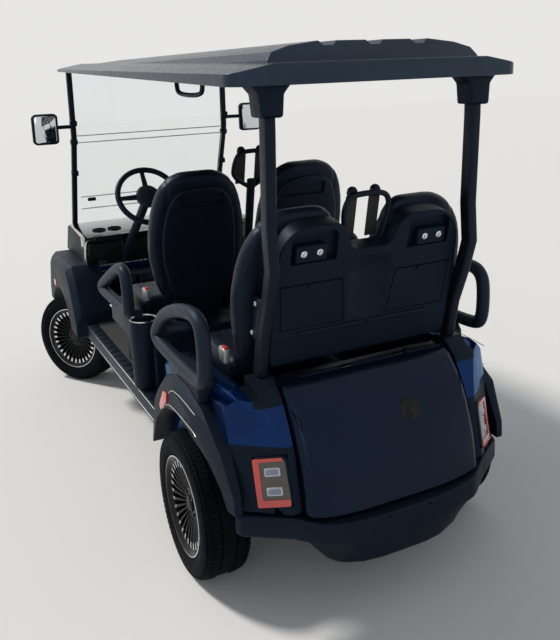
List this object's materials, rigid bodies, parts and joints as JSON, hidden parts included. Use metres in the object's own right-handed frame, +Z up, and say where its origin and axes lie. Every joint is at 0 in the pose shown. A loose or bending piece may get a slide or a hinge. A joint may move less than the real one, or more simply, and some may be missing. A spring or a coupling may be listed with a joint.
{
  "type": "golf cart",
  "caption": "Four-seat golf cart with a roof, a folding windscreen, forward-facing seat rows, alloy wheels and a hinged trunk cover.",
  "frame": {"origin": "on the floor, under the middle of the cart's bounding box", "axes": "+Z up, -Y is the front of the cart, +X is its left side (the driver's side)"},
  "size_m": [1.6362, 3.37, 2.104],
  "materials": {
    "black_plastic": "grained matt",
    "cell_pack": "matt",
    "frame_black": "satin powder coat",
    "gloss_black": "gloss",
    "floor_mat": "ribbed matt",
    "axle_black": "satin",
    "blue_paint": "metallic blue gloss",
    "black_vinyl": "soft grained vinyl",
    "lamp_clear": "clear",
    "black_alloy": "gloss black with machined spoke edges",
    "lamp_red": "clear red",
    "tyre_rubber": "matt",
    "clear_screen": "clear"
  },
  "bodies": {
    "chassis": {"armrests": "black_plastic", "battery_pack": "cell_pack", "belt_towers": "frame_black", "chassis_frame": "frame_black", "dash": "gloss_black", "floor_pan": "floor_mat", "front_axle": "axle_black", "front_bumper": "black_plastic", "front_cowl": "blue_paint", "front_cushions": "black_vinyl", "front_fenders": "black_plastic", "front_posts": "frame_black", "front_seat_backs": "black_vinyl", "front_seat_base": "black_plastic", "head_lamps": "lamp_clear", "pedals": "frame_black", "rear_axle": "axle_black", "rear_bumper": "black_plastic", "rear_cushions": "black_vinyl", "rear_fenders": "black_plastic", "rear_posts": "frame_black", "rear_quarters": "blue_paint", "rear_seat_backs": "black_vinyl", "rear_seat_base": "black_plastic", "rear_seat_shell": "black_plastic", "roof": "black_plastic", "roof_brackets": "black_plastic", "running_boards": "black_plastic", "side_mirrors": "black_plastic", "steering_column": "black_plastic", "tail_lamps": "lamp_red", "trunk_tub": "black_plastic", "windscreen": "clear_screen"},
    "wheel_rear_left": {"tyre_rear_left": "tyre_rubber", "rim_rear_left": "black_alloy"},
    "wheel_rear_right": {"tyre_rear_right": "tyre_rubber", "rim_rear_right": "black_alloy"},
    "wheel_front_left": {"tyre_front_left": "tyre_rubber", "rim_front_left": "black_alloy"},
    "wheel_front_right": {"tyre_front_right": "tyre_rubber", "rim_front_right": "black_alloy"},
    "steer_knuckle_left": {"knuckle_left": "axle_black"},
    "steer_knuckle_right": {"knuckle_right": "axle_black"},
    "handwheel": {"steering_wheel": "black_plastic"},
    "trunk_cover": {"trunk_lid": "black_plastic"}
  },
  "joints": [
    {"name": "steer_left", "type": "hinge", "parent": "chassis", "child": "steer_knuckle_left", "pos_m": [0.529, -1.285, 0.297], "axis": [0, 0, 1], "range_deg": [-70, 0]},
    {"name": "steer_right", "type": "hinge", "parent": "chassis", "child": "steer_knuckle_right", "pos_m": [-0.529, -1.285, 0.297], "axis": [0, 0, 1], "range_deg": [-70, 0]},
    {"name": "steering", "type": "hinge", "parent": "chassis", "child": "handwheel", "pos_m": [0.3, -0.375, 1.335], "axis": [0, 0.7986, 0.6018], "range_deg": [-840, 0]},
    {"name": "spin_front_left", "type": "hinge", "parent": "steer_knuckle_left", "child": "wheel_front_left", "pos_m": [0.58225, -1.24772, 0.297], "axis": [0.8192, 0.5736, 0], "continuous": true},
    {"name": "spin_front_right", "type": "hinge", "parent": "steer_knuckle_right", "child": "wheel_front_right", "pos_m": [-0.58225, -1.32228, 0.297], "axis": [0.8192, 0.5736, 0], "continuous": true},
    {"name": "spin_rear_left", "type": "hinge", "parent": "chassis", "child": "wheel_rear_left", "pos_m": [0.594, 1.113, 0.297], "axis": [1, 0, 0], "continuous": true},
    {"name": "spin_rear_right", "type": "hinge", "parent": "chassis", "child": "wheel_rear_right", "pos_m": [-0.594, 1.113, 0.297], "axis": [1, 0, 0], "continuous": true},
    {"name": "trunk_hinge", "type": "hinge", "parent": "chassis", "child": "trunk_cover", "pos_m": [0, 1.397, 0.868], "axis": [1, 0, 0], "range_deg": [0, 55]}
  ],
  "couplings": [
    {"joint": "steer_right", "follows": "steer_left", "ratio": 1},
    {"joint": "steering", "follows": "steer_left", "ratio": 12}
  ]
}
